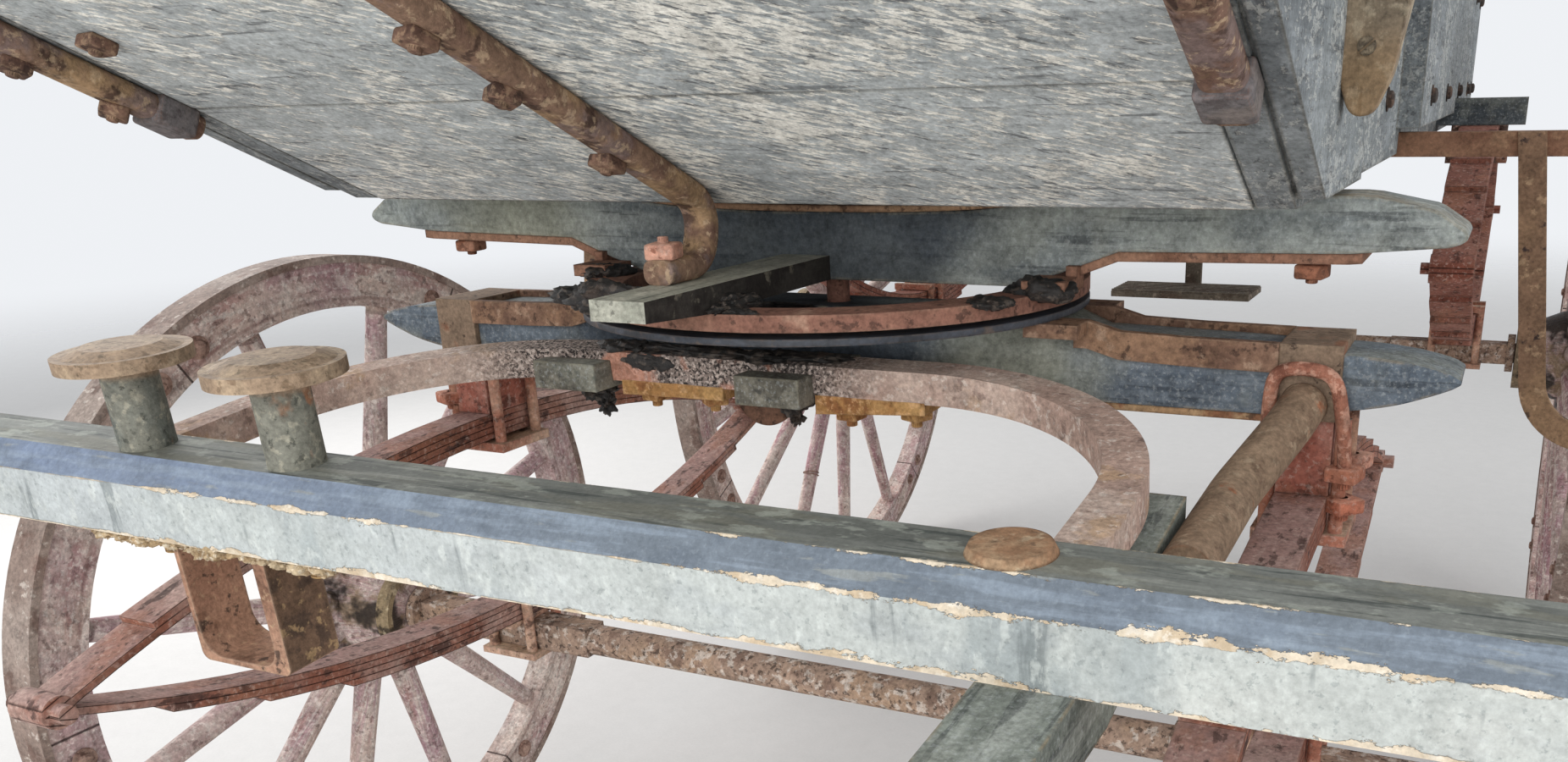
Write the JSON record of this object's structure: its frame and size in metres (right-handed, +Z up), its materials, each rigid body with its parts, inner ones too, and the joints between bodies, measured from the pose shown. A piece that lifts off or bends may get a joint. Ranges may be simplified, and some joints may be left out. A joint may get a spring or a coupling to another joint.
{
  "type": "four-wheel cart",
  "caption": "Sprung four-wheel horse cart with turntable forecarriage, splinter bar, wooden spoked wheels and an open plank body with hinged tailboard.",
  "frame": {"origin": "on the ground, midway between the front and rear ends and between the two sides", "axes": "the front with the splinter bar faces -Y, +X is the cart's left seen from the front, +Z is up"},
  "size_m": [1.652, 2.509, 1.412],
  "materials": {
    "body_wood": "weathered blue-grey paint",
    "bed_wood": "dark slate blue paint, worn",
    "bar_wood": "pale grey-green paint with chipped edges",
    "wheel_wood": "faded red paint with dust",
    "rust_iron": "rusty wrought iron",
    "red_iron": "red lead paint and rust",
    "tyre_iron": "worn iron tyre"
  },
  "bodies": {
    "wagon": {"sills": "body_wood", "bearers": "body_wood", "floor": "body_wood", "side_l": "body_wood", "side_r": "body_wood", "front_board": "body_wood", "tail_hinges": "rust_iron", "footboard": "body_wood", "footboard_stays": "rust_iron", "seat": "body_wood", "rear_bed": "bed_wood", "rear_bed_bolts": "red_iron", "upper_bed": "bed_wood", "upper_bed_irons": "rust_iron", "upper_ring": "rust_iron", "perch_block": "bed_wood", "king_bolt": "rust_iron", "rear_axle": "rust_iron", "rear_spring_lower": "red_iron", "rear_spring_upper": "red_iron", "rear_axle_clips": "red_iron", "side_steps": "rust_iron", "step_bar": "rust_iron", "rear_step": "rust_iron"},
    "forecarriage": {"lower_bed": "bed_wood", "lower_ring": "rust_iron", "loop_irons": "rust_iron", "bed_plates": "rust_iron", "bed_straps": "rust_iron", "bed_bolts": "red_iron", "saddles": "red_iron", "splinter_bar": "bar_wood", "bar_bolt": "rust_iron", "roller_bolts": "rust_iron", "shaft_bracket_l": "rust_iron", "sweep_bar": "rust_iron", "under_blocks": "bed_wood", "futchell": "bar_wood", "futchell_stay": "rust_iron", "front_axle": "rust_iron", "front_spring_lower": "red_iron", "front_spring_upper": "red_iron", "front_axle_clips": "red_iron"},
    "tailgate": {"tailboard": "body_wood", "tail_straps": "rust_iron"},
    "wheel_fl": {"wood_fl": "wheel_wood", "iron_fl": "red_iron", "tyre_fl": "tyre_iron"},
    "wheel_fr": {"wood_fr": "wheel_wood", "iron_fr": "red_iron", "tyre_fr": "tyre_iron"},
    "wheel_rl": {"wood_rl": "wheel_wood", "iron_rl": "red_iron", "tyre_rl": "tyre_iron"},
    "wheel_rr": {"wood_rr": "wheel_wood", "iron_rr": "red_iron", "tyre_rr": "tyre_iron"}
  },
  "joints": [
    {"name": "steering", "type": "hinge", "parent": "wagon", "child": "forecarriage", "pos_m": [0, -0.6585, 0.8], "axis": [0, 0, 1], "range_deg": [-80, 80]},
    {"name": "tailboard_hinge", "type": "hinge", "parent": "wagon", "child": "tailgate", "pos_m": [0, 1.2415, 1.008], "axis": [-1, 0, 0], "range_deg": [0, 175]},
    {"name": "wheel_fl_spin", "type": "hinge", "parent": "forecarriage", "child": "wheel_fl", "pos_m": [-0.698, -0.6585, 0.433], "axis": [1, 0, 0], "continuous": true},
    {"name": "wheel_fr_spin", "type": "hinge", "parent": "forecarriage", "child": "wheel_fr", "pos_m": [0.698, -0.6585, 0.433], "axis": [1, 0, 0], "continuous": true},
    {"name": "wheel_rl_spin", "type": "hinge", "parent": "wagon", "child": "wheel_rl", "pos_m": [-0.698, 0.6615, 0.583], "axis": [1, 0, 0], "continuous": true},
    {"name": "wheel_rr_spin", "type": "hinge", "parent": "wagon", "child": "wheel_rr", "pos_m": [0.698, 0.6615, 0.583], "axis": [1, 0, 0], "continuous": true}
  ]
}
